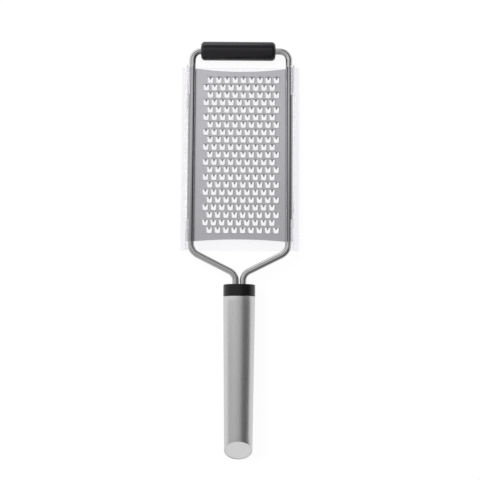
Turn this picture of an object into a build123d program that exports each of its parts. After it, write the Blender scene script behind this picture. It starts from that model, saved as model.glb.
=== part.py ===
from build123d import *

import os
from math import acos, cos, degrees, radians, sin

# A wide hand rasp, lying on its back, in millimetres.
# +X is to the right, +Y runs from the handle to the grip bar, +Z is the toothed side.
# The origin is the middle of the whole object, on the handle's axis.
# The rods, the grip bar and the handle all have their axes in the plane Z = 0.

# Rod frame: one bent rod, from one end in the handle, round the bar, to the other end
rod_diameter = 5.2
rod_spacing = 76.3
side_length = 159.7
yoke_depth = 17.7
neck_length = 8.1
neck_spacing = 5.8
top_bend_radius = 7.2
side_bend_radius = 10.5
neck_bend_radius = 8.2
rod_insert = 42.0
anchor_groove_count = 3
anchor_groove_depth = 0.4
anchor_groove_width = 2.0
anchor_groove_pitch = 5.0

# Grip bar: a rubber sleeve on the crossbar, a little off the middle as in the photograph
grip_diameter = 14.9
grip_length = 59.1
grip_offset = -2.0
grip_edge_radius = 3.0

# Blade: etched sheet whose long edges are rolled round the side rods, to just past their tops
blade_thickness = 0.5
blade_seam_angle = 28.0
blade_setback = 13.1
blade_length = 138.8
blade_top_dip = 2.8
blade_low_dip = 1.9

# Holes and their teeth: the pattern sits a little to the right and towards the handle
row_pitch = 6.0
column_pitch = 6.55
end_margin = 8.8
side_margin = 5.7
pattern_offset = 0.7
pattern_drop = 0.35
hole_width = 4.4
hole_foot_width = 3.8
hole_height = 4.4
hole_foot_radius = 0.8
tooth_root_width = 1.8
tooth_tip_width = 0.7
tooth_length = 1.9
tooth_rise = 0.8

# Handle: collar, tapered tube, moulded core and end cap
collar_diameter = 24.8
collar_height = 9.2
collar_edge_radius = 0.8
collar_joint_chamfer = 0.25
spigot_length = 6.0
handle_length = 125.6
tip_diameter = 21.5
tube_wall = 0.9
tube_edge_radius = 0.4
end_slant = 36.0
core_length = 36.0
core_flange = 3.0
core_rib = 2.0
core_cover = 1.8
cap_wall = 1.0
cap_depth = 4.0
cap_inset = 0.25
cap_edge_radius = 0.35

# Cover: a flat panel with side walls that lean in to four clips round the rods
cover_length = 147.0
cover_overhang = 1.5
cover_panel = 1.2
cover_wall = 1.1
cover_lean = 4.85
cover_edge_radius = 0.9
clip_length = 24.0
clip_wall = 0.9
clip_hook = 1.35

# Clearances: sliding parts, parts pressed or bonded together, and one overrun for every cut
slide_gap = 0.3
bond_gap = 0.05
overrun = 1.0

# Stations along Y, worked out from the sizes above
rod_radius = rod_diameter / 2
roll_inside = rod_radius + bond_gap
roll_outside = roll_inside + blade_thickness
grip_radius = grip_diameter / 2
overall_length = (
    grip_radius + side_length + yoke_depth + neck_length + collar_height + handle_length
)
bar_y = overall_length / 2 - grip_radius
side_corner_y = bar_y - side_length
neck_corner_y = side_corner_y - yoke_depth
collar_y = neck_corner_y - neck_length
tube_y = collar_y - collar_height
tip_y = tube_y - handle_length
rod_end_y = collar_y - rod_insert
spigot_y = tube_y - spigot_length
core_end_y = spigot_y - core_length
blade_top_y = bar_y - blade_setback
blade_middle_y = blade_top_y - blade_length / 2
cover_top_y = blade_top_y + cover_overhang


def rod_solid(radius):
    """The whole bent rod as a round section of this radius swept along its centreline."""
    half, neck = rod_spacing / 2, neck_spacing / 2
    corners = [
        (-neck, rod_end_y),
        (-neck, neck_corner_y),
        (-half, side_corner_y),
        (-half, bar_y),
        (half, bar_y),
        (half, side_corner_y),
        (neck, neck_corner_y),
        (neck, rod_end_y),
    ]
    bends = [neck_bend_radius, side_bend_radius, top_bend_radius]
    path = FilletPolyline(*corners, radius=bends + bends[::-1])
    return sweep(Plane(origin=path @ 0, z_dir=path % 0) * Circle(radius), path=path)


def along_y(x, low_y, length):
    """Where a solid made upwards from a base plane goes, to run along +Y from low_y."""
    return Plane(origin=(x, low_y, 0), z_dir=(0, 1, 0)) * Pos(0, 0, length / 2)


def make_rod_frame():
    """The rod with shallow grooves turned in each end, which lock it in the moulded core."""
    frame = rod_solid(rod_radius)
    ring = Cylinder(rod_radius + overrun, anchor_groove_width) - Cylinder(
        rod_radius - anchor_groove_depth, anchor_groove_width
    )
    for x in (-neck_spacing / 2, neck_spacing / 2):
        for number in range(anchor_groove_count):
            low_y = rod_end_y + (number + 1) * anchor_groove_pitch
            frame -= along_y(x, low_y, anchor_groove_width) * ring
    return frame


def make_grip_bar(rod):
    """A thick rubber cylinder with rounded ends, tight on the crossbar."""
    bar = Cylinder(grip_radius, grip_length)
    bar = fillet(bar.edges().filter_by(GeomType.CIRCLE), grip_edge_radius)
    return Pos(grip_offset, bar_y, 0) * Rot(0, 90, 0) * bar - rod


def hole_face():
    """One hole in the sheet: wide towards the bar, narrower and rounded towards the handle."""
    top, foot, middle = hole_width / 2, hole_foot_width / 2, hole_height / 2
    outline = Polyline(
        (-top, middle), (top, middle), (foot, -middle), (-foot, -middle), close=True
    )
    face = make_face(outline)
    foot_corners = face.vertices().group_by(Axis.Y)[0]
    return fillet(foot_corners, hole_foot_radius)


def hole_places():
    """The middle of every hole: rows across the blade, every other row half a pitch along."""
    rows = round((blade_length - 2 * end_margin) / row_pitch) + 1
    clear_width = rod_spacing - rod_diameter - 2 * side_margin - hole_width
    columns = round(clear_width / column_pitch + 0.5)
    places = []
    for row in range(rows):
        side = 1 if row % 2 == 0 else -1
        y = blade_middle_y - pattern_drop + ((rows - 1) / 2 - row) * row_pitch
        for column in range(columns):
            x = pattern_offset + (column - (columns - 1) / 2) * column_pitch + side * column_pitch / 4
            places.append((x, y))
    return places


def make_tooth():
    """One tooth: a tongue from the hole's upper edge that rises as it narrows to its tip."""
    root, tip = tooth_root_width / 2, tooth_tip_width / 2
    root_y = hole_height / 2
    tip_y_here = root_y - tooth_length
    plan = make_face(
        Polyline((-root, root_y), (root, root_y), (tip, tip_y_here), (-tip, tip_y_here), close=True)
    )
    tall = blade_thickness + tooth_rise
    side = make_face(
        Polyline(
            (root_y, 0),
            (root_y, blade_thickness),
            (tip_y_here, tall),
            (tip_y_here, tooth_rise),
            close=True,
        )
    )
    tongue = extrude(Plane.YZ * side, amount=root, both=True)
    return extrude(plan, amount=tall) & tongue


def ring_sector(inner, outer, start, turn):
    """A flat ring round the origin, kept from one angle through this much of a turn."""
    sides = []
    for angle in (radians(start), radians(start + turn)):
        direction = Vector(cos(angle), sin(angle))
        sides.append(Line(direction * inner, direction * outer))
    arcs = [CenterArc((0, 0), radius, start, turn) for radius in (inner, outer)]
    return make_face(sides + arcs)


def towards_handle(section, high_y, length):
    """A section drawn in X and Z, run this far towards the handle from high_y."""
    return Pos(0, high_y, 0) * extrude(Plane.XZ * section, amount=length)


def make_blade():
    """A toothed sheet with dished ends, its two long edges rolled round the side rods."""
    half = rod_spacing / 2
    top, low = blade_top_y, blade_top_y - blade_length
    edges = [
        SagittaArc((-half, low), (half, low), blade_low_dip),
        Line((half, low), (half, top)),
        SagittaArc((half, top), (-half, top), blade_top_dip),
        Line((-half, top), (-half, low)),
    ]
    places = hole_places()
    hole = hole_face()
    sheet = make_face(edges) - [Pos(x, y) * hole for x, y in places]
    tooth = make_tooth()
    blade = extrude(sheet, amount=blade_thickness) + [Pos(x, y, 0) * tooth for x, y in places]
    blade = Pos(0, 0, -roll_outside) * blade
    right = Pos(half, 0) * ring_sector(roll_inside, roll_outside, -90, 180 + blade_seam_angle)
    for roll in (right, mirror(right, about=Plane.YZ)):
        blade += towards_handle(roll, top, blade_length)
    return blade


def taper_solid(start_y, end_y, inset):
    """The handle's cone between two stations, with its surface this far inside the outside."""
    slope = (collar_diameter - tip_diameter) / 2 / handle_length
    start = collar_diameter / 2 - inset - (tube_y - start_y) * slope
    end = collar_diameter / 2 - inset - (tube_y - end_y) * slope
    outline = Polyline((0, start_y), (start, start_y), (end, end_y), (0, end_y), close=True)
    return revolve(make_face(outline), Axis.Y)


def end_plane():
    """The plane of the tube's slanted end, facing out of the handle."""
    slant = radians(end_slant)
    return Plane(origin=(0, tip_y, -tip_diameter / 2), z_dir=(0, -cos(slant), sin(slant)))


def beyond_end(depth):
    """All the space outside the slanted end face, or outside a plane this deep below it."""
    reach = handle_length
    return end_plane() * Pos(0, 0, reach / 2 - depth) * Box(reach, reach, reach)


def make_handle_tube():
    """The tapered steel tube with a rounded mouth, cut off at a slant at its far end."""
    outside = taper_solid(tube_y, tip_y, 0)
    mouth = outside.edges().filter_by(GeomType.CIRCLE).sort_by(Axis.Y)[-1]
    outside = fillet(mouth, tube_edge_radius)
    inside = taper_solid(tube_y + overrun, tip_y - overrun, tube_wall)
    return outside - inside - beyond_end(0)


def make_end_cap():
    """A pressed cup with a rounded edge in the slanted end, its skirt inside the tube."""
    cup = taper_solid(tube_y, tip_y - overrun, tube_wall + bond_gap) - beyond_end(cap_inset)
    face = cup.faces().sort_by(Axis(end_plane().origin, end_plane().z_dir))[-1]
    cup = fillet(face.edges(), cap_edge_radius) & beyond_end(cap_inset + cap_depth)
    hollow = taper_solid(tube_y, tip_y - overrun, tube_wall + bond_gap + cap_wall)
    return cup - (hollow - beyond_end(cap_inset + cap_wall))


def make_collar():
    """The moulded collar: a round head flush with the tube, and a spigot inside its mouth."""
    head = Cylinder(collar_diameter / 2, collar_height)
    rims = head.edges().filter_by(GeomType.CIRCLE).sort_by(Axis.Z)
    head = chamfer(rims[0], collar_joint_chamfer)
    rim = head.edges().filter_by(GeomType.CIRCLE).sort_by(Axis.Z)[-1]
    head = fillet(rim, collar_edge_radius)
    spigot = taper_solid(tube_y, spigot_y, tube_wall + bond_gap)
    collar = along_y(0, tube_y, collar_height) * head + spigot
    return collar - rod_solid(rod_radius + bond_gap)


def make_handle_core(rod):
    """The moulded core that grips the rod ends: two flanges, four ribs and a solid middle."""
    envelope = taper_solid(spigot_y, core_end_y, tube_wall + bond_gap)
    width = neck_spacing + rod_diameter + 2 * core_cover
    height = rod_diameter + 2 * core_cover
    middle_y = (spigot_y + core_end_y) / 2
    skeleton = Pos(0, middle_y, 0) * (
        Box(width, core_length, height)
        + Box(collar_diameter, core_length, core_rib)
        + Box(core_rib, core_length, collar_diameter)
    )
    for flange_y in (spigot_y - core_flange / 2, core_end_y + core_flange / 2):
        skeleton += Pos(0, flange_y, 0) * Box(collar_diameter, core_flange, collar_diameter)
    return (envelope & skeleton) - rod


def make_cover():
    """The clear cover: panel, two leaning walls, and clips at the four corners."""
    inside = rod_spacing / 2 + roll_outside + slide_gap
    outside = inside + cover_wall
    panel_top = -(grip_radius + slide_gap)
    panel_low = panel_top - cover_panel
    foot = outside + cover_lean
    outer = make_face(
        Polyline((-outside, 0), (outside, 0), (foot, panel_low), (-foot, panel_low), close=True)
    )
    outer = fillet(outer.vertices().group_by(Axis.Y)[0], cover_edge_radius)
    inner_foot = inside + cover_lean * -panel_top / -panel_low
    inner = make_face(
        Polyline(
            (-inside, 0), (inside, 0), (inner_foot, panel_top), (-inner_foot, panel_top), close=True
        )
    )
    cover = towards_handle(outer - inner, cover_top_y, cover_length)

    clip_inner = roll_outside + slide_gap
    hook_angle = degrees(acos((roll_outside - clip_hook) / clip_inner))
    right = Pos(rod_spacing / 2, 0) * ring_sector(clip_inner, clip_inner + clip_wall, 0, hook_angle)
    left = mirror(right, about=Plane.YZ)
    for high_y in (cover_top_y, cover_top_y - cover_length + clip_length):
        for hook in (right, left):
            cover += towards_handle(hook, high_y, clip_length)
    return cover


def main():
    rod = make_rod_frame()
    nodes = {
        "rod_frame": rod,
        "grip_bar": make_grip_bar(rod),
        "grating_blade": make_blade(),
        "collar": make_collar(),
        "handle_core": make_handle_core(rod),
        "handle_tube": make_handle_tube(),
        "end_cap": make_end_cap(),
        "protective_cover": make_cover(),
    }
    os.makedirs("parts", exist_ok=True)
    for name, shape in nodes.items():
        export_step(shape, f"parts/{name}.step")


main()
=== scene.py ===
# %% [markdown]
# # A rasp zester, piece by piece
#
# This lesson dresses a wide hand rasp. A bent steel rod carries an etched blade with rows of small
# teeth, and the blade's long edges are rolled round the rod's two sides. A black rubber bar sits on
# the crossbar, and the rod's two ends go through a black collar into a brushed tube that is cut off
# at a slant. A clear cover is clipped on behind the blade.
#
# The construction is already fixed. It comes in as the frame, in metres: +X to the right, +Y from the
# handle to the grip bar, +Z out of the toothed side. Every mesh below is made to lie where the frame
# says, so nothing has to be scaled or moved into place afterwards.

from math import acos, atan2, cos, degrees, pi, radians, sin, sqrt, tan

import bmesh
import bpy
from mathutils import Matrix, Vector


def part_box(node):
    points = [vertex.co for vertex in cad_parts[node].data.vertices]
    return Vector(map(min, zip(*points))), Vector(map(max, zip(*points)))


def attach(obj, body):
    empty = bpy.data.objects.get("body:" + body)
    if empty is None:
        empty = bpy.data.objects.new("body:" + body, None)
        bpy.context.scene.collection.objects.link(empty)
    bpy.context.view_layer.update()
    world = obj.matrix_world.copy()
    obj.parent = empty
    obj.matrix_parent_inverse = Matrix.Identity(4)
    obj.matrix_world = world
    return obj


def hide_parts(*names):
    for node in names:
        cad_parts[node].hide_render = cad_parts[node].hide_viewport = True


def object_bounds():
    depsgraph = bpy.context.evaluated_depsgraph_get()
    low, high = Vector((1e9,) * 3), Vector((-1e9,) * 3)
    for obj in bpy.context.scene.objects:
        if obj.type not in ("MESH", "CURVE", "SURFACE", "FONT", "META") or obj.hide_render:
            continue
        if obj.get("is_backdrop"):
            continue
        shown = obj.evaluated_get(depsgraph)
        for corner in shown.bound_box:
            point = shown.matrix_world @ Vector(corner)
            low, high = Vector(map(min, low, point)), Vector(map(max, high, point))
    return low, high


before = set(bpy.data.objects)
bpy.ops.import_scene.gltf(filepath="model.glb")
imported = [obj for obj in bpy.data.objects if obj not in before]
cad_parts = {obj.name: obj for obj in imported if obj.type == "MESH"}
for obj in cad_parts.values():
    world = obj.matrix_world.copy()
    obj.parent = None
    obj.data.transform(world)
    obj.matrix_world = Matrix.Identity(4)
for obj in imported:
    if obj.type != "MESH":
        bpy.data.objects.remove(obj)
cad_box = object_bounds()
mm = 0.001

for name in sorted(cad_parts):
    low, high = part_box(name)
    size = (high - low) / mm
    print(f"{name}: {size.x:.1f} x {size.y:.1f} x {size.z:.1f} mm")

# %% [markdown]
# ## Sizes
#
# A box tells most of what a piece needs. The rod's box is as thick as the rod, so half its height is
# the rod's radius, and its width less one rod is the distance between the two side rods. What no box
# can tell, such as the radius of a bend, is written down where it is first needed, in millimetres
# times `mm`.

# %% Read the sizes that the boxes hold
rod_low, rod_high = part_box("rod_frame")
grip_low, grip_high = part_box("grip_bar")
blade_low, blade_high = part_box("grating_blade")
collar_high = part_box("collar")[1]
tube_low, tube_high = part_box("handle_tube")
cover_low, cover_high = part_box("protective_cover")

rod_radius = rod_high.z
side_x = rod_high.x - rod_radius
bar_y = rod_high.y - rod_radius
grip_radius = grip_high.z
collar_radius = collar_high.z
tube_y = tube_high.y
tip_y = tube_low.y
print(f"rod {2 * rod_radius / mm:.1f} mm, side rods {2 * side_x / mm:.1f} mm apart")


# %% [markdown]
# ## A helper that turns lists into an object
#
# A mesh is a list of points and a list of faces that name points by their number. `from_pydata` takes
# both. Smooth shading rounds the look of the facets, and edges that are sharper than a given angle
# are marked, so that rims stay crisp. Every mesh that is drawn below, but for the cover's, goes
# through this one door.

# %% Make an object from points and faces
def make_object(name, points, faces, sharp_degrees=40):
    mesh = bpy.data.meshes.new(name)
    mesh.from_pydata(points, [], faces)
    mesh.validate()
    mesh.polygons.foreach_set("use_smooth", [True] * len(mesh.polygons))
    mesh.set_sharp_from_angle(angle=radians(sharp_degrees))
    thing = bpy.data.objects.new(name, mesh)
    bpy.context.scene.collection.objects.link(thing)
    print(f"{name}: {len(mesh.vertices)} points, {len(mesh.polygons)} faces")
    return thing


def join_rings(ring_count, around, closed=False):
    """Quads between neighbouring rings of points, where each ring holds the same number of points."""
    faces = []
    for ring in range(ring_count if closed else ring_count - 1):
        here, there = ring * around, (ring + 1) % ring_count * around
        for k in range(around):
            after = (k + 1) % around
            faces.append((here + k, here + after, there + after, there + k))
    return faces


def dress(thing, body, node, material):
    """Gives a piece its material, hangs it on its body and hides the imported node it stands in for."""
    thing.data.materials.clear()
    thing.data.materials.append(material)
    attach(thing, body)
    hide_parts(node)


# %% [markdown]
# ## The camera
#
# The photograph looks straight down on the rasp, leaned a few degrees so that the handle's end is
# nearer. Its mild perspective fits a lens of 75 mm on a 36 mm sensor, about 780 mm away. The camera
# looks along its own -Z axis, so two turns are enough: one about X for the lean, and a very small one
# about the line of sight, because the rasp lies a trace out of square in the picture.

# %% Place the camera
camera_place = Vector((0.34, -73.01, 775.6)) * mm
camera_lean = radians(5.796)
camera_roll = radians(0.376)
lens_length = 75
sensor_width = 36
nearest, farthest = 10 * mm, 20.0

camera_data = bpy.data.cameras.new("camera")
camera_data.lens = lens_length
camera_data.sensor_width = sensor_width
camera_data.clip_start = nearest
camera_data.clip_end = farthest
camera = bpy.data.objects.new("camera", camera_data)
camera.matrix_world = (
    Matrix.Translation(camera_place)
    @ Matrix.Rotation(camera_lean, 4, "X")
    @ Matrix.Rotation(camera_roll, 4, "Z")
)
bpy.context.scene.collection.objects.link(camera)
bpy.context.scene.camera = camera
print("camera", [round(c, 4) for c in camera.location])


# %% [markdown]
# ## Materials: a small kit
#
# Shaders are graphs. `new_material` gives a material with its one Principled shader, and `add` makes a
# node, fills in plain values and links what is itself a node's output. Patterns read the Object
# coordinates, which are metres in the frame, so a grain that is 0.2 mm wide is written as 0.2 mm wide.

# %% Helpers for node graphs
def new_material(name, **values):
    """A material and its Principled shader, with these sockets set to plain values."""
    material = bpy.data.materials.new(name)
    material.use_nodes = True
    shader = material.node_tree.nodes["Principled BSDF"]
    for socket, value in values.items():
        shader.inputs[socket.replace("_", " ").title().replace("Ior", "IOR")].default_value = value
    return material, shader


def add(tree, kind, settings=None, **inputs):
    """A node of this kind. Inputs are given by name or as slot_0, slot_1, as values or as sockets."""
    node = tree.nodes.new("ShaderNode" + kind)
    for key, value in (settings or {}).items():
        setattr(node, key, value)
    for key, value in inputs.items():
        socket = node.inputs[int(key[5:])] if key.startswith("slot_") else node.inputs[key]
        if isinstance(value, bpy.types.NodeSocket):
            tree.links.new(value, socket)
        else:
            socket.default_value = value
    return node


def object_noise(tree, size, detail=3.0, roughness=0.55):
    """Noise whose grains are size = (x, y, z) long, in metres, on the object's own coordinates."""
    place = add(tree, "TexCoord").outputs["Object"]
    scale = tuple(1 / s for s in size)
    stretched = add(tree, "VectorMath", {"operation": "MULTIPLY"}, slot_0=place, slot_1=scale)
    return add(tree, "TexNoise", Vector=stretched.outputs[0], Scale=1.0, Detail=detail,
               Roughness=roughness).outputs["Fac"]


def mapped(tree, value, low, high, out_low, out_high):
    """A number carried from one range to another and held inside it."""
    return add(tree, "MapRange", {"clamp": True}, slot_0=value, slot_1=low, slot_2=high,
               slot_3=out_low, slot_4=out_high).outputs[0]


def laid_over(tree, share, under, colour):
    """A plain colour laid over another one, which may vary, by a share from 0 to 1."""
    mix = add(tree, "Mix", {"data_type": "RGBA"}, slot_0=share, slot_6=under, slot_7=(*colour, 1))
    return mix.outputs[2]


def tinted(tree, value, first, second):
    """A colour between two, by a number from 0 to 1."""
    return laid_over(tree, value, (*first, 1), second)


# %% [markdown]
# ## Steel that shows how it was worked
#
# All the steel here is the same metal; its working makes the differences, and two marks on the blade
# are painted shade. The tube was drawn past an abrasive belt, so its scratches run lengthwise: they
# are a noise that is far longer along Y than across, which roughens the shine and lifts the surface a
# few thousandths of a millimetre. A picture of brushed metal could be wrapped round it instead, but
# the noise is in metres, so the scratches keep their true width. The rods are polished, with faint
# drawing marks. The cap has a fine satin that runs no way, and so has the etched blade. Where the
# blade's edges are rolled round the rods, they are darker and smoother. The seam is painted nearly
# black, as painted shade for the gap under the lip, and the teeth are painted a little darker than
# the sheet, as painted shade on their raised faces. Two attributes of the mesh, `rolled` and `tooth`,
# say where that is.

# %% Brushed steel for the tube
def brushed_steel():
    material, shader = new_material("brushed_steel", metallic=1.0, anisotropic=0.6)
    tree = material.node_tree
    streaks = object_noise(tree, (0.25 * mm, 18 * mm, 0.25 * mm), detail=4)
    spread = mapped(tree, streaks, 0.35, 0.65, 0, 1)
    colour = tinted(tree, spread, (0.6, 0.6, 0.605), (0.64, 0.64, 0.645))
    tree.links.new(colour, shader.inputs["Base Color"])
    tree.links.new(mapped(tree, streaks, 0.3, 0.7, 0.25, 0.31), shader.inputs["Roughness"])
    grain = object_noise(tree, (0.08 * mm, 9 * mm, 0.08 * mm), detail=2)
    bump = add(tree, "Bump", Strength=0.12, Distance=0.01 * mm, Height=grain)
    tree.links.new(bump.outputs[0], shader.inputs["Normal"])
    along = add(tree, "Tangent", {"direction_type": "RADIAL", "axis": "Y"})
    tree.links.new(along.outputs[0], shader.inputs["Tangent"])
    return material


# %% Polished steel for the rods
def polished_steel():
    material, shader = new_material("polished_steel", metallic=1.0)
    tree = material.node_tree
    marks = object_noise(tree, (0.4 * mm, 12 * mm, 0.4 * mm), detail=3)
    colour = tinted(tree, marks, (0.42, 0.42, 0.425), (0.5, 0.5, 0.505))
    tree.links.new(colour, shader.inputs["Base Color"])
    smears = object_noise(tree, (6 * mm, 9 * mm, 6 * mm), detail=2)
    tree.links.new(mapped(tree, smears, 0.3, 0.7, 0.1, 0.2), shader.inputs["Roughness"])
    bump = add(tree, "Bump", Strength=0.2, Distance=0.01 * mm, Height=marks)
    tree.links.new(bump.outputs[0], shader.inputs["Normal"])
    return material


# %% Etched steel for the blade
def etched_steel():
    material, shader = new_material("etched_steel", metallic=1.0)
    tree = material.node_tree
    clouds = object_noise(tree, (14 * mm, 14 * mm, 14 * mm), detail=4)
    sheet = tinted(tree, clouds, (0.515, 0.505, 0.532), (0.58, 0.57, 0.598))
    rolled = add(tree, "Attribute", {"attribute_name": "rolled"}).outputs["Fac"]
    with_edges = laid_over(tree, rolled, sheet, (0.34, 0.335, 0.35))
    # Painted shade: the steps next to the seam go nearly black, standing in for the shade in the gap
    # under the lip.
    seam_shade = mapped(tree, rolled, 1, 2, 0, 1)
    with_seam_shade = laid_over(tree, seam_shade, with_edges, (0.03, 0.03, 0.032))
    # Painted shade: the teeth are darkened, standing in for the shade on their raised faces.
    tooth = add(tree, "Attribute", {"attribute_name": "tooth"}).outputs["Fac"]
    with_tooth_shade = laid_over(tree, tooth, with_seam_shade, (0.38, 0.38, 0.39))
    tree.links.new(with_tooth_shade, shader.inputs["Base Color"])
    grain = object_noise(tree, (0.15 * mm, 0.15 * mm, 0.15 * mm), detail=2)
    etched = mapped(tree, grain, 0.3, 0.7, 0.24, 0.34)
    rubbed = mapped(tree, rolled, 0, 1, 1, 0.45)
    rough = add(tree, "Math", {"operation": "MULTIPLY"}, slot_0=etched, slot_1=rubbed)
    tree.links.new(rough.outputs[0], shader.inputs["Roughness"])
    bump = add(tree, "Bump", Strength=0.3, Distance=0.01 * mm, Height=grain)
    tree.links.new(bump.outputs[0], shader.inputs["Normal"])
    return material


# %% Satin steel for the end cap
def satin_steel():
    material, shader = new_material("satin_steel", metallic=1.0)
    tree = material.node_tree
    grain = object_noise(tree, (0.12 * mm, 0.12 * mm, 0.12 * mm), detail=3)
    colour = tinted(tree, grain, (0.68, 0.68, 0.69), (0.76, 0.76, 0.77))
    tree.links.new(colour, shader.inputs["Base Color"])
    tree.links.new(mapped(tree, grain, 0.3, 0.7, 0.38, 0.5), shader.inputs["Roughness"])
    bump = add(tree, "Bump", Strength=0.25, Distance=0.01 * mm, Height=grain)
    tree.links.new(bump.outputs[0], shader.inputs["Normal"])
    return material


# %% [markdown]
# ## Rubber and moulded plastic
#
# Black things are never black in a picture: what one sees of them is mostly their sheen. The rubber
# has a soft, slightly purple black, a fine grain and a little sheen at its edges. The collar is a
# matt plastic. One flat black would do from afar, but it looks painted on up close, so both get their
# grain from a small noise in the bump and in the roughness.

# %% Black rubber for the grip bar
def bar_rubber():
    material, shader = new_material(
        "bar_rubber", specular_ior_level=0.33, sheen_weight=0.3, sheen_roughness=0.22
    )
    tree = material.node_tree
    patches = object_noise(tree, (8 * mm, 5 * mm, 5 * mm), detail=3)
    colour = tinted(tree, patches, (0.007, 0.006, 0.008), (0.011, 0.009, 0.012))
    tree.links.new(colour, shader.inputs["Base Color"])
    grain = object_noise(tree, (0.18 * mm, 0.18 * mm, 0.18 * mm), detail=3)
    tree.links.new(mapped(tree, grain, 0.3, 0.7, 0.16, 0.22), shader.inputs["Roughness"])
    bump = add(tree, "Bump", Strength=0.15, Distance=0.02 * mm, Height=grain)
    tree.links.new(bump.outputs[0], shader.inputs["Normal"])
    return material


# %% Black plastic for the collar and pale plastic for the core
def moulded_plastic(name, dark, light, low, high):
    material, shader = new_material(name, specular_ior_level=0.3)
    tree = material.node_tree
    patches = object_noise(tree, (4 * mm, 4 * mm, 4 * mm), detail=3)
    tree.links.new(tinted(tree, patches, dark, light), shader.inputs["Base Color"])
    grain = object_noise(tree, (0.2 * mm, 0.2 * mm, 0.2 * mm), detail=2)
    tree.links.new(mapped(tree, grain, 0.3, 0.7, low, high), shader.inputs["Roughness"])
    bump = add(tree, "Bump", Strength=0.25, Distance=0.02 * mm, Height=grain)
    tree.links.new(bump.outputs[0], shader.inputs["Normal"])
    return material


# %% [markdown]
# ## Clear plastic
#
# The cover is clear but a little milky, as moulded food-grade plastic is. It is one Principled shader
# with nearly full transmission, so light bends in it and its walls turn grey where one looks along
# them. A see-through mix would be quicker to render, but its walls would stay flat. A little of the
# light is left to scatter, and that gives the milk. Thin leaning walls draw dark lines at the index
# of solid plastic, so a lower one is used.

# %% Clear plastic for the cover
def clear_plastic():
    material, shader = new_material(
        "clear_plastic", base_color=(0.95, 0.942, 0.962, 1), transmission_weight=0.99, ior=1.18
    )
    tree = material.node_tree
    flow = object_noise(tree, (30 * mm, 60 * mm, 30 * mm), detail=1)
    tree.links.new(mapped(tree, flow, 0.3, 0.7, 0.01, 0.03), shader.inputs["Roughness"])
    return material


# %% Make each material once
steel_tube = brushed_steel()
steel_rod = polished_steel()
steel_sheet = etched_steel()
steel_cap = satin_steel()
black_rubber = bar_rubber()
black_plastic = moulded_plastic(
    "collar_plastic", (0.004, 0.004, 0.004), (0.006, 0.006, 0.006), 0.22, 0.3
)
pale_plastic = moulded_plastic("core_plastic", (0.7, 0.68, 0.62), (0.78, 0.76, 0.7), 0.4, 0.55)
plastic_cover = clear_plastic()
print(len(bpy.data.materials), "materials")


# %% [markdown]
# ## The rod frame
#
# One rod is bent six times. A Blender curve with a round bevel could draw it, and so could a mesh that
# is swept by hand. The sweep is used here, because the bends then are true arcs with the radii of a
# bending tool. First the corners are rounded: at each corner an arc replaces the point, and it starts
# where its tangent leaves the straight run.

# %% Round the corners of a flat path
def rounded_path(corners, radii, step=radians(5)):
    """Points along straight runs and arcs, in the plane of the rods."""
    points = [Vector(corners[0])]
    for before, corner, after, radius in zip(corners, corners[1:], corners[2:], radii):
        corner = Vector(corner)
        into = (corner - Vector(before)).normalized()
        out = (Vector(after) - corner).normalized()
        turn = into.angle_signed(out)
        start = corner - into * radius * tan(abs(turn) / 2)
        side = Vector((into.y, -into.x)) if turn > 0 else Vector((-into.y, into.x))
        centre = start + side * radius
        steps = max(2, round(abs(turn) / step))
        for k in range(steps + 1):
            points.append(centre + Matrix.Rotation(-turn * k / steps, 2) @ (start - centre))
    points.append(Vector(corners[-1]))
    return points


# %% Lay the rod's path
side_length = 159.7 * mm
yoke_depth = 17.7 * mm
neck_x = 5.8 * mm / 2
top_bend = 7.2 * mm
side_bend = 10.5 * mm
neck_bend = 8.2 * mm
side_y = bar_y - side_length
neck_y = side_y - yoke_depth
half_corners = [(-neck_x, rod_low.y), (-neck_x, neck_y), (-side_x, side_y), (-side_x, bar_y)]
corners = half_corners + [(-x, y) for x, y in reversed(half_corners)]
half_bends = [neck_bend, side_bend, top_bend]
rod_path = rounded_path(corners, half_bends + half_bends[::-1])
rod_run = sum((b - a).length for a, b in zip(rod_path, rod_path[1:]))
print(f"rod path: {len(rod_path)} points, {rod_run / mm:.0f} mm of rod")

# %% [markdown]
# Then a ring of points is set square to the path at each point. The path is flat, so a ring needs only
# the path's own sideways direction and Z. At a point between two directions their mean is used.


# %% Sweep the rod
def swept_rod(path, radius, around=40):
    points = []
    for k, place in enumerate(path):
        ahead = path[min(k + 1, len(path) - 1)] - path[max(k - 1, 0)]
        sideways = Vector((-ahead.y, ahead.x)).normalized()
        for j in range(around):
            angle = 2 * pi * j / around
            flat = place + sideways * radius * cos(angle)
            points.append((flat.x, flat.y, radius * sin(angle)))
    faces = join_rings(len(path), around)
    last = (len(path) - 1) * around
    faces.append(tuple(range(around)))
    faces.append(tuple(last + k for k in reversed(range(around))))
    return points, faces


rod = make_object("rod", *swept_rod(rod_path, rod_radius))
dress(rod, "grater", "rod_frame", steel_rod)

# %% [markdown]
# ## The grip bar
#
# The bar is turned: a short outline, spun round the crossbar. A cylinder with a bevelled edge comes
# close, but it has no bore, and the bore's mouth shows where the rod goes in. The outline starts
# there, with a small flare, crosses the end, rounds the edge and comes back the same way at the other
# end. Closing it through the bore makes a solid ring.


# %% Outline and spin the bar
def quarter(centre, radius, first, last, steps=6):
    """Points on an arc, from one angle to another, in degrees."""
    angles = [radians(first + (last - first) * k / steps) for k in range(steps + 1)]
    return [(centre[0] + radius * cos(a), centre[1] + radius * sin(a)) for a in angles]


def spun(outline, place, around=96):
    """An outline of (along, out) points, spun round a line along X into points and faces."""
    points = []
    for along, out in outline:
        for k in range(around):
            a = 2 * pi * k / around
            points.append((place[0] + along, place[1] + out * cos(a), place[2] + out * sin(a)))
    return points, join_rings(len(outline), around, closed=True)


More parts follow.
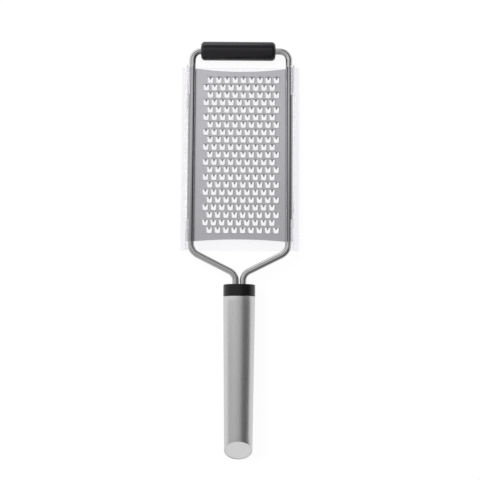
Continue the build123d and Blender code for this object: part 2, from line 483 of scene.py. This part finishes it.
grip_half = (grip_high.x - grip_low.x) / 2
grip_x = (grip_high.x + grip_low.x) / 2
edge = 3.0 * mm
flare = 0.35 * mm
bore = rod_radius + 0.02 * mm
one_end = (
    [(grip_half - 3 * flare, bore), (grip_half - flare, bore), (grip_half, bore + flare)]
    + [(grip_half, (grip_radius - edge + bore) / 2)]
    + quarter((grip_half - edge, grip_radius - edge), edge, 0, 90)
    + [(grip_half / 2, grip_radius)]
)
bar_outline = one_end + [(-along, out) for along, out in reversed(one_end)]
grip = make_object("grip", *spun(bar_outline, (grip_x, bar_y, 0)))
dress(grip, "grater", "grip_bar", black_rubber)

# %% [markdown]
# ## The handle tube
#
# The tube is a slim cone that is cut off at a slant. A cone, a cutter and a Boolean would leave long
# thin triangles at the cut. Here each point of a ring is put straight where it belongs: the cone and
# the slanted plane meet at one height for every angle, and that height comes from one line of
# algebra. The rings between the mouth and the cut then share out the distance evenly.


# %% Where the cone meets the slanted end
tip_radius = 21.5 * mm / 2
tube_wall = 0.9 * mm
end_slant = radians(36)
cone_slope = (collar_radius - tip_radius) / (tube_y - tip_y)


def cone_radius(y, inset):
    return collar_radius - inset - (tube_y - y) * cone_slope


def end_point(angle, inset=0.0, depth=0.0):
    """A point of the cone, set in from its outside, on the slanted plane or this deep below it."""
    up = sin(angle)
    lift = tip_radius * sin(end_slant) + depth
    run = cos(end_slant) - cone_slope * up * sin(end_slant)
    start = cone_radius(0, inset)
    y = (tip_y * cos(end_slant) + start * up * sin(end_slant) + lift) / run
    radius = cone_radius(y, inset)
    return Vector((radius * cos(angle), y, radius * up))


print("end cut from y", round(end_point(-pi / 2).y / mm, 2), "to", round(end_point(pi / 2).y / mm, 2))

# %% Build the tube ring by ring
mouth_edge = 0.4 * mm
cut_edge = 0.06 * mm
inside_shown = 8 * mm
tube_around = 128
lengths = 24


def mouth_ring(along, out):
    angles = [2 * pi * k / tube_around for k in range(tube_around)]
    return [Vector((out * cos(a), tube_y - along, out * sin(a))) for a in angles]


def end_ring(inset, depth):
    return [end_point(2 * pi * k / tube_around, inset, depth) for k in range(tube_around)]


inside_radius = collar_radius - tube_wall - inside_shown * cone_slope
tube_rings = [mouth_ring(inside_shown, inside_radius)]
tube_rings.append(mouth_ring(0, collar_radius - tube_wall))
for out, along in quarter((collar_radius - mouth_edge, mouth_edge), mouth_edge, -90, 0, 5):
    tube_rings.append(mouth_ring(along, out))
start, stop = tube_rings[-1], end_ring(0, cut_edge)
for k in range(1, lengths + 1):
    tube_rings.append([a.lerp(b, k / lengths) for a, b in zip(start, stop)])
tube_rings.append(end_ring(cut_edge / 3, cut_edge / 3))
tube_rings.append(end_ring(cut_edge, 0))
tube_rings.append(end_ring(tube_wall - cut_edge, 0))
tube_rings.append(end_ring(tube_wall, cut_edge))
tube_rings.append(end_ring(tube_wall, inside_shown))
tube_points = [p for ring in tube_rings for p in ring]
tube = make_object("tube", tube_points, join_rings(len(tube_rings), tube_around, closed=True))
dress(tube, "grater", "handle_tube", steel_tube)

# %% [markdown]
# ## The end cap
#
# The cap is a cup pressed from sheet and pushed into the slanted end. It uses the same meeting of cone
# and plane, set in by the tube's wall. Its face is made of rings that shrink towards the middle, its
# edge is a small arc, and its skirt runs back along the tube's inside.

# %% Build the cap
cap_fit = tube_wall + 0.03 * mm
cap_sunk = 0.15 * mm
cap_edge = 0.1 * mm
skirt = 3 * mm
cap_around = tube_around
edge_steps = 5
flat_edge = end_ring(cap_fit + cap_edge, cap_sunk)
middle = sum(flat_edge, Vector()) / cap_around
cap_rings = [[middle.lerp(p, share) for p in flat_edge] for share in (0.25, 0.5, 0.75, 0.9, 1)]
for k in range(1, edge_steps + 1):
    a = radians(90 * k / edge_steps)
    cap_rings.append(end_ring(cap_fit + cap_edge * (1 - sin(a)), cap_sunk + cap_edge * (1 - cos(a))))
cap_rings.append(end_ring(cap_fit, cap_sunk + skirt))
cap_points = [p for ring in cap_rings for p in ring] + [middle]
cap_faces = join_rings(len(cap_rings), cap_around)
cap_faces += [(k, len(cap_points) - 1, (k + 1) % cap_around) for k in range(cap_around)]
cap = make_object("cap", cap_points, cap_faces)
dress(cap, "grater", "end_cap", steel_cap)

# %% [markdown]
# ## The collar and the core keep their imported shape
#
# The collar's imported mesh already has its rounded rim, its joint groove and its two bores, so it stays
# and only gets a material. The moulded core is inside the tube, where nobody sees it, but it is a real
# piece and gets its own finish too.

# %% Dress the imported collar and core
for node, material in (("collar", black_plastic), ("handle_core", pale_plastic)):
    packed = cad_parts[node]
    packed.data.materials.clear()
    packed.data.materials.append(material)
    print(node, "keeps", len(packed.data.polygons), "faces")

# %% [markdown]
# ## The blade: one tooth and its hole
#
# The blade is 189 copies of one cell, so the work is in the cell. Holes could be cut into a sheet with
# Booleans, but that leaves no even points round them to lift into a tooth. So the outside of a cell is
# a plain rectangle with points at even steps. Its inside is the edge of the hole, and the hole's upper
# edge runs out into the tooth. Each outside point has one partner on the hole's edge, and the rings
# between them carry the relief: the sheet swells towards the hole, and the tooth climbs to its tip.
#
# Half a cell's top has 12 steps. The first is half the tooth's tip, the next three climb down its
# flank to the root, and the rest are the hole's straight upper edge. At the hole's foot only a part
# of the swelling is left.

# %% Sizes of a cell
column_pitch = 6.55 * mm
row_pitch = 6.0 * mm
rows, columns = 21, 9
pattern_offset = 0.7 * mm
pattern_drop = 0.35 * mm
across = 24
down = 9
tip_step, root_step = 1, 4
arc_steps = 2
grid = column_pitch / across
hole_top = 4.4 * mm / 2
hole_foot = 3.8 * mm / 2
hole_up = 4.4 * mm / 2
foot_round = 0.8 * mm
tooth_root = 1.8 * mm / 2
tooth_tip = 0.7 * mm / 2
tip_corner = 0.12 * mm
tooth_reach = hole_up - 1.9 * mm
tooth_rise = 0.8 * mm
swell = 0.15 * mm
foot_swell = 0.5
print(f"tooth rises {tooth_rise / mm:.2f} mm above the sheet")


# %% The partner of each outside point, on the edge of the hole
def hole_edge():
    """(outside x, outside y, edge x, edge y, height, tooth share) all the way round one cell."""
    half_w, half_h = column_pitch / 2, row_pitch / 2
    top = []
    for k in range(across // 2 + 1):
        x = k * grid
        if k <= root_step:
            flank = max(0, k - tip_step) / (root_step - tip_step)
            climb = 1 - flank
            edge_x = tooth_tip * min(k, tip_step) / tip_step + (tooth_root - tooth_tip) * flank
            edge_y = tooth_reach + (hole_up - tooth_reach) * flank
            edge_y += tip_corner if k == tip_step else 0
            top.append((x, half_h, edge_x, edge_y, swell + (tooth_rise - swell) * climb, climb))
        else:
            share = (k - root_step) / (across // 2 - root_step)
            edge_x = tooth_root + (hole_top - tooth_root) * share
            top.append((x, half_h, edge_x, hole_up, swell, 0.0))
    side = []
    arc_middle = (hole_foot - foot_round, -hole_up + foot_round)
    for k in range(1, down + 1):
        y = half_h - row_pitch * k / down
        if k <= down - arc_steps:
            share = k / (down - arc_steps)
            edge_y = hole_up + (arc_middle[1] - hole_up) * share
            edge_x = hole_top + (hole_foot - hole_top) * share
        else:
            a = radians(-45 * (k - down + arc_steps) / arc_steps)
            edge_x = arc_middle[0] + foot_round * cos(a)
            edge_y = arc_middle[1] + foot_round * sin(a)
        side.append((half_w, y, edge_x, edge_y, swell * (1 - (1 - foot_swell) * k / down), 0.0))
    foot = []
    for k in range(across // 2 - 1, -1, -1):
        x = k * grid
        if k >= across // 2 - arc_steps:
            a = radians(-45 - 45 * (across // 2 - k) / arc_steps)
            edge_x = arc_middle[0] + foot_round * cos(a)
            edge_y = arc_middle[1] + foot_round * sin(a)
        else:
            edge_x, edge_y = arc_middle[0] * k / (across // 2 - arc_steps), -hole_up
        foot.append((x, -half_h, edge_x, edge_y, swell * foot_swell, 0.0))
    right = top + side + foot
    left = [(-x, y, ex, ey, h, t) for x, y, ex, ey, h, t in reversed(right[1:-1])]
    left = [(x, y, -ex, ey, h, t) for x, y, ex, ey, h, t in left]
    return right + left


cell = hole_edge()
print(len(cell), "points round a cell")

# %% [markdown]
# ## The blade: the whole sheet
#
# The sheet is built on one list of points. A dictionary hands out the number of a point that is already
# there, so cells share their edges, also where every other row lies half a pitch along. Two sums for
# one place can differ in their last digit, so they are rounded first, and away from a tie. Around the
# cells the sheet is filled with plain strips on the same grid. At the end the whole skin is copied
# downwards by the sheet's thickness, and every open edge gets a wall.

# %% Collect points and faces of the upper skin
skin_points, under_points, skin_tooth_shade, skin_rolled_and_seam_shade, skin_faces, numbers = [], [], [], [], [], {}
sheet_thick = 0.5 * mm
roll_inside = rod_radius + 0.05 * mm
roll_outside = roll_inside + sheet_thick
blade_half = side_x
blade_middle = (blade_high.y + blade_low.y) / 2
top_dip, low_dip = 2.8 * mm, 1.9 * mm
levels = (0.0, 0.12, 0.3, 0.55, 0.8, 1.0)
tooth_fade, swell_fade, tooth_shade_fade = 1.15, 2, 2
off_tie = 0.00003


def place_key(x, y):
    """Rounded x and y, moved a trace off the ties, where equal places could be rounded apart."""
    return round(x / mm + off_tie, 4), round(y / mm + off_tie, 4)


def skin_point(x, y, z=0.0, tooth=0.0):
    key = place_key(x, y)
    if key not in numbers:
        numbers[key] = len(skin_points)
        skin_points.append((x, y, z - roll_inside))
        under_points.append((x, y, z - roll_outside))
        # The tooth share kept here is used only to darken the teeth as painted shade.
        skin_tooth_shade.append(tooth)
        skin_rolled_and_seam_shade.append(0.0)
    return numbers[key]


def add_cell(cx, cy):
    rings = []
    for level in levels:
        ring = []
        for x, y, edge_x, edge_y, height, tooth in cell:
            lift = height * (1 - level) ** (tooth_fade if tooth > 0 else swell_fade)
            # Painted shade on the tooth: strongest at its tip, fading towards the cell's outside.
            tooth_shade = tooth * (1 - level) ** tooth_shade_fade
            px, py = edge_x + (x - edge_x) * level, edge_y + (y - edge_y) * level
            ring.append(skin_point(cx + px, cy + py, lift, tooth_shade))
        rings.append(ring)
    for inner, outer in zip(rings, rings[1:]):
        for k in range(len(cell)):
            after = (k + 1) % len(cell)
            skin_faces.append((inner[k], inner[after], outer[after], outer[k]))


def row_middle(row):
    return blade_middle - pattern_drop + ((rows - 1) / 2 - row) * row_pitch


def cell_middle(row, column):
    side = 1 if row % 2 == 0 else -1
    return pattern_offset + (column - (columns - 1) / 2) * column_pitch + side * column_pitch / 4


for row in range(rows):
    for column in range(columns):
        add_cell(cell_middle(row, column), row_middle(row))
print(rows * columns, "cells,", len(skin_points), "points")


# %% Fill the margins with strips on the same grid
def strip(xs, ys_low, ys_high):
    """Quads between two lines of points with the same x places, in one or more steps."""
    for k in range(len(xs) - 1):
        a = skin_point(xs[k], ys_low[k])
        b = skin_point(xs[k + 1], ys_low[k + 1])
        c = skin_point(xs[k + 1], ys_high[k + 1])
        d = skin_point(xs[k], ys_high[k])
        skin_faces.append((a, b, c, d))


edge_count = int((blade_half + pattern_offset) / grid) + 1
grid_places = [pattern_offset + k * grid for k in range(-edge_count, edge_count + 1)]
all_places = [x for x in grid_places if abs(x) < blade_half - grid / 4]
all_places = [-blade_half] + all_places + [blade_half]
for row in range(rows):
    left = cell_middle(row, 0) - column_pitch / 2
    right = cell_middle(row, columns - 1) + column_pitch / 2
    for places in ([x for x in all_places if x < left + grid / 2],
                   [x for x in all_places if x > right - grid / 2]):
        for k in range(down):
            high = row_middle(row) + row_pitch / 2 - row_pitch * k / down
            low = row_middle(row) + row_pitch / 2 - row_pitch * (k + 1) / down
            strip(places, [low] * len(places), [high] * len(places))


def end_line(x, side):
    """The dished end of the sheet: an arc through both corners that dips in the middle."""
    deepest = top_dip if side > 0 else low_dip
    radius = (blade_half**2 + deepest**2) / (2 * deepest)
    dip = sqrt(radius**2 - x**2) - (radius - deepest)
    return blade_high.y - dip if side > 0 else blade_low.y + dip


margin_steps = 5
for side in (1, -1):
    rim = blade_middle - pattern_drop + side * rows * row_pitch / 2
    for k in range(margin_steps):
        near = [rim + (end_line(x, side) - rim) * k / margin_steps for x in all_places]
        far = [rim + (end_line(x, side) - rim) * (k + 1) / margin_steps for x in all_places]
        strip(all_places, *((near, far) if side > 0 else (far, near)))
print(len(skin_points), "points in the upper skin")

# %% [markdown]
# The two long edges are rolled: each goes on from the sheet's side, under its rod, up the outside and
# over the top to a seam. Both skins follow the rod's circle, and near the seam the lip springs back a
# little, which leaves a thin gap. The last two steps before the seam are marked for painted shade,
# which the blade's material draws nearly black.

# %% Roll the long edges round the rods
seam_angle = radians(28)
spring_back = 0.2 * mm
roll_steps = 26
for side in (1, -1):
    column = place_key(side * blade_half, 0)[0]
    before = [numbers[key] for key in sorted(numbers) if key[0] == column]
    stations = [skin_points[number][1] for number in before]
    for step in range(1, roll_steps + 1):
        turn = (pi + seam_angle) * step / roll_steps
        lift = spring_back * max(0, turn - pi) / seam_angle
        here = list(range(len(skin_points), len(skin_points) + len(stations)))
        for y in stations:
            for points, radius in ((skin_points, roll_inside + lift), (under_points, roll_outside)):
                points.append((side * (side_x + radius * sin(turn)), y, -radius * cos(turn)))
            skin_tooth_shade.append(0.0)
            # 1 marks the rolled edge; 2 marks the last steps at the seam, which carry the painted seam
            # shade.
            skin_rolled_and_seam_shade.append(2.0 if step >= roll_steps - 1 else 1.0)
        for k in range(len(stations) - 1):
            quad = (before[k], before[k + 1], here[k + 1], here[k])
            skin_faces.append(quad if side < 0 else quad[::-1])
        before = here
print(len(skin_points), "points with the rolled edges")

# %% Give the skin its thickness
count = len(skin_points)
blade_points = skin_points + under_points
blade_faces = list(skin_faces) + [tuple(count + k for k in reversed(face)) for face in skin_faces]
open_edges = {}
for face in skin_faces:
    for a, b in zip(face, face[1:] + face[:1]):
        if (b, a) in open_edges:
            del open_edges[(b, a)]
        else:
            open_edges[(a, b)] = True
blade_faces += [(b, a, count + a, count + b) for a, b in open_edges]
blade = make_object("blade", blade_points, blade_faces, sharp_degrees=50)
# `tooth` holds the painted tooth shade; `rolled` marks the rolled edges, and its value 2 the painted
# seam shade.
for label, shares in (("tooth", skin_tooth_shade), ("rolled", skin_rolled_and_seam_shade)):
    layer = blade.data.attributes.new(label, "FLOAT", "POINT")
    layer.data.foreach_set("value", shares * 2)
dress(blade, "grater", "grating_blade", steel_sheet)

# %% [markdown]
# ## The cover
#
# The cover is a channel: a flat panel with two walls that lean in towards the side rods. At its four
# corners a wall goes on into a clip that hooks over the rod. A folded sheet with a Solidify modifier
# would give the walls, but the clips are thinner than they are. So the channel is run along Y from
# two outlines, one with the clips and one without, which differ in the clips' points alone. A small
# bevel then rounds all edges, because clear plastic shows its edges more than anything else.

# %% Sizes of the cover
slide_gap = 0.3 * mm
panel = 1.2 * mm
wall = 1.1 * mm
clip_wall = 0.9 * mm
clip_length = 24 * mm
clip_hook = 1.35 * mm
clip_steps = 7
lean = 4.85 * mm
foot_edge = 0.9 * mm
rounded_edge = 0.18 * mm
same_point = 0.001 * mm
clip_inner = roll_outside + slide_gap
inside_x = side_x + clip_inner
outside_x = inside_x + wall
panel_low = cover_low.z
panel_top = panel_low + panel
inner_foot = inside_x + lean * panel_top / panel_low


# %% Draw the cover's section
def wall_side(with_clip):
    """The right half of the section, from the middle of the panel's back, round the wall and back."""
    corners = [(0, panel_low), (outside_x + lean, panel_low), (outside_x, 0)]
    back = [tuple(p) for p in rounded_path(corners, [foot_edge], step=radians(20))]
    clip = []
    if with_clip:
        hook = acos((roll_outside - clip_hook) / clip_inner)
        for k in range(1, clip_steps + 1):
            a = hook * k / clip_steps
            out = clip_inner + wall + (clip_wall - wall) * k / clip_steps
            clip.append((side_x + out * cos(a), out * sin(a)))
        for k in range(clip_steps, 0, -1):
            a = hook * k / clip_steps
            clip.append((side_x + clip_inner * cos(a), clip_inner * sin(a)))
    front = [(inside_x, 0.0), (inner_foot, panel_top), (0.0, panel_top)]
    return back + clip + front


def whole_section(with_clip):
    right = wall_side(with_clip)
    left = [(-x, z) for x, z in reversed(right[1:-1])]
    return right + left


plain_section = whole_section(False)
clip_section = whole_section(True)
print(len(plain_section), "and", len(clip_section), "points in the two sections")

# %% Run the sections along Y
cover_stations = [cover_high.y, cover_high.y - clip_length, cover_low.y + clip_length, cover_low.y]
mesh = bpy.data.meshes.new("cover")
sheet = bmesh.new()


def section_ring(section, y):
    return [sheet.verts.new((x, y, z)) for x, z in section]


def skin_between(first, second):
    for k in range(len(first)):
        after = (k + 1) % len(first)
        sheet.faces.new((first[k], second[k], second[after], first[after]))


for high, low, section in (
    (cover_stations[0], cover_stations[1], clip_section),
    (cover_stations[1], cover_stations[2], plain_section),
    (cover_stations[2], cover_stations[3], clip_section),
):
    first, second = section_ring(section, high), section_ring(section, low)
    skin_between(first, second)
    if high == cover_stations[0]:
        sheet.faces.new(first)
    if low == cover_stations[3]:
        sheet.faces.new(list(reversed(second)))

# %% [markdown]
# The three lengths meet edge to edge. Doubled points are merged, and where the clips end, the open
# loops between a clip and the wall's lip are closed with a small face.

# %% Merge, close the clips' ends and round the edges
bmesh.ops.remove_doubles(sheet, verts=sheet.verts, dist=same_point)
open_loops = [e for e in sheet.edges if e.is_boundary]
bmesh.ops.holes_fill(sheet, edges=open_loops, sides=40)
bmesh.ops.recalc_face_normals(sheet, faces=sheet.faces)
print("open edges left in the cover:", sum(e.is_boundary for e in sheet.edges))
sheet.to_mesh(mesh)
sheet.free()
mesh.polygons.foreach_set("use_smooth", [True] * len(mesh.polygons))
mesh.set_sharp_from_angle(angle=radians(35))
cover = bpy.data.objects.new("cover", mesh)
bpy.context.scene.collection.objects.link(cover)
rounding = cover.modifiers.new("rounding", "BEVEL")
rounding.width = rounded_edge
rounding.segments = 2
rounding.limit_method = "ANGLE"
rounding.angle_limit = radians(50)
rounding.harden_normals = False
dress(cover, "cover", "protective_cover", plastic_cover)

# %% [markdown]
# ## The floor
#
# The rasp lies on its back, on the rim of the collar and the far edge of the cover, so the floor is
# the plane through those two lines. Seen by the camera, in a reflection or through the cover it is
# nearly white by itself, and a part of it stays a plain diffuse surface, which keeps the shadow. More
# lamps would make it white as well, but they would bleach the rasp with it.

# %% Lay the floor
collar_rest = Vector((0, tube_y, -collar_radius))
cover_rest = Vector((0, cover_high.y, cover_low.z))
floor_slope = (cover_rest.z - collar_rest.z) / (cover_rest.y - collar_rest.y)
floor_gap = 0.02 * mm
reach = 6.0


def floor_height(y):
    return collar_rest.z + (y - collar_rest.y) * floor_slope


floor_corners = ((-reach, -reach), (reach, -reach), (reach, reach), (-reach, reach))
floor = make_object(
    "floor", [(x, y, floor_height(y) - floor_gap) for x, y in floor_corners], [(0, 1, 2, 3)]
)
floor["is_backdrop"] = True
print(f"floor leans {degrees(atan2(floor_slope, 1)):.2f} degrees")


# %% Plain white for the rays that see it
def white_where_seen(tree, own_light):
    """This strength for camera, mirror and see-through rays, and none for all others."""
    rays = add(tree, "LightPath")
    seen = add(tree, "Math", {"operation": "MAXIMUM"}, slot_0=rays.outputs["Is Camera Ray"],
               slot_1=rays.outputs["Is Glossy Ray"])
    seen = add(tree, "Math", {"operation": "MAXIMUM"}, slot_0=seen.outputs[0],
               slot_1=rays.outputs["Is Transmission Ray"])
    return mapped(tree, seen.outputs[0], 0, 1, 0, own_light)


floor_white = 0.93
floor_grey = (0.08, 0.08, 0.08, 1)
floor_material, floor_shader = new_material(
    "pale_floor", base_color=floor_grey, roughness=1.0, specular_ior_level=0.0
)
floor_shader.inputs["Emission Color"].default_value = (1, 1, 1, 1)
floor_glow = white_where_seen(floor_material.node_tree, floor_white)
floor_material.node_tree.links.new(floor_glow, floor_shader.inputs["Emission Strength"])
floor.data.materials.append(floor_material)

# %% [markdown]
# ## The light
#
# Shiny metal shows the room, so the room is the real material here. The world gives an even light and
# is plain white where it is seen. A tent stands over the rasp, and only mirror rays meet it: it is
# pale on the left and overhead, dark in one wide gap on the right, and bright low down behind the
# grip bar, with one dim and one bright stripe on the way up. The gap draws the dark band along the
# handle. A ready-made picture of a room would do for a mirror too, but a tent can be set stripe by
# stripe.

# %% The world
world = bpy.data.worlds.new("studio")
bpy.context.scene.world = world
world.use_nodes = True
world.cycles.sampling_method = "NONE"
background = world.node_tree.nodes["Background"]
background.inputs["Color"].default_value = (1, 1, 1, 1)
even_light = 0.6
seen = white_where_seen(world.node_tree, 1 - even_light)
total = add(world.node_tree, "Math", {"operation": "ADD"}, slot_0=seen, slot_1=even_light)
world.node_tree.links.new(total.outputs[0], background.inputs["Strength"])


# %% Build the tent
def tent_dome(radius, around=48, up=16):
    points = [(0, 0, radius)]
    for ring in range(1, up + 1):
        tilt = pi / 2 * ring / up
        for k in range(around):
            a = 2 * pi * k / around
            points.append((radius * sin(tilt) * cos(a), radius * sin(tilt) * sin(a), radius * cos(tilt)))
    faces = [(0, 1 + k, 1 + (k + 1) % around) for k in range(around)]
    for ring in range(up - 1):
        here, there = 1 + ring * around, 1 + (ring + 1) * around
        for k in range(around):
            after = (k + 1) % around
            faces.append((here + k, there + k, there + after, here + after))
    return points, faces


tent_radius = 1.6
tent = make_object("tent", *tent_dome(tent_radius))
tent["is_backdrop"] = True
for way in ("camera", "diffuse", "transmission", "volume_scatter", "shadow"):
    setattr(tent, "visible_" + way, False)


# %% Paint the tent by direction
def ramp(tree, value, stops):
    """A curve through (place, brightness) stops, as a colour ramp."""
    node = add(tree, "ValToRGB", Fac=value)
    while len(node.color_ramp.elements) < len(stops):
        node.color_ramp.elements.new(0.5)
    for element, (place, bright) in zip(node.color_ramp.elements, stops):
        element.position = place
        element.color = (bright, bright, bright, 1)
    return node.outputs["Color"]


def tent_material():
    material = bpy.data.materials.new("tent")
    material.use_nodes = True
    tree = material.node_tree
    tree.nodes.clear()
    split = add(tree, "SeparateXYZ", Vector=add(tree, "TexCoord").outputs["Object"]).outputs
    turn = {}
    for name, side in (("across", split["X"]), ("along", split["Y"])):
        angle = add(tree, "Math", {"operation": "ARCTAN2"}, slot_0=side, slot_1=split["Z"]).outputs[0]
        turn[name] = mapped(tree, angle, -pi / 2, pi / 2, 0, 1)
    across_stops = (
        (-90, 0.8), (-30, 0.84), (-8, 0.74), (8, 0.65), (17, 0.54), (29, 0.21), (68, 0.2),
        (83, 0.38), (90, 0.6),
    )
    along_stops = (
        (-90, 0.8), (-40, 0.75), (-10, 0.78), (0, 0.97), (8, 0.88), (18, 1.8), (27, 1.1), (45, 0.33),
        (60, 0.8), (74, 2.6), (90, 4.5),
    )
    across_ramp = ramp(tree, turn["across"], [(k / 180 + 0.5, v) for k, v in across_stops])
    along_ramp = ramp(tree, turn["along"], [(k / 180 + 0.5, v) for k, v in along_stops])
    both = add(tree, "Mix", {"data_type": "RGBA", "blend_type": "MULTIPLY"}, slot_0=1.0,
               slot_6=across_ramp, slot_7=along_ramp)
    glow = add(tree, "Emission", Color=both.outputs[2], Strength=1.0)
    add(tree, "OutputMaterial", Surface=glow.outputs[0])
    material.cycles.emission_sampling = "NONE"
    return material


tent.data.materials.append(tent_material())

# %% [markdown]
# One wide, soft lamp stands at the upper left, because the photograph's shadows fall a little to the
# right. Metals don't mirror it, so it only lights what is dull: the rubber, the collar and the floor.

# %% Hang the lamp
lamp_place = Vector((-0.6, 0.4, 0.9))
lamp_width = 0.9
lamp_watts = 9
lamp_data = bpy.data.lights.new("soft_lamp", "AREA")
lamp_data.shape = "DISK"
lamp_data.size = lamp_width
lamp_data.energy = lamp_watts
lamp = bpy.data.objects.new("soft_lamp", lamp_data)
lamp_turn = (-lamp_place).to_track_quat("-Z", "Y").to_matrix().to_4x4()
lamp.matrix_world = Matrix.Translation(lamp_place) @ lamp_turn
lamp.visible_glossy = False
bpy.context.scene.collection.objects.link(lamp)
bpy.context.scene.view_settings.view_transform = "Standard"
print("lamp is", round(lamp_place.length, 2), "m away")

# %% [markdown]
# ## Last look
#
# The dressed rasp must not outgrow its construction, so both boxes are written down side by side.

# %% Print both boxes side by side
look_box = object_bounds()
for axis, a, b in zip("XYZ", look_box[1] - look_box[0], cad_box[1] - cad_box[0]):
    print(f"{axis}: dressed {a / mm:.2f} mm, packed {b / mm:.2f} mm")
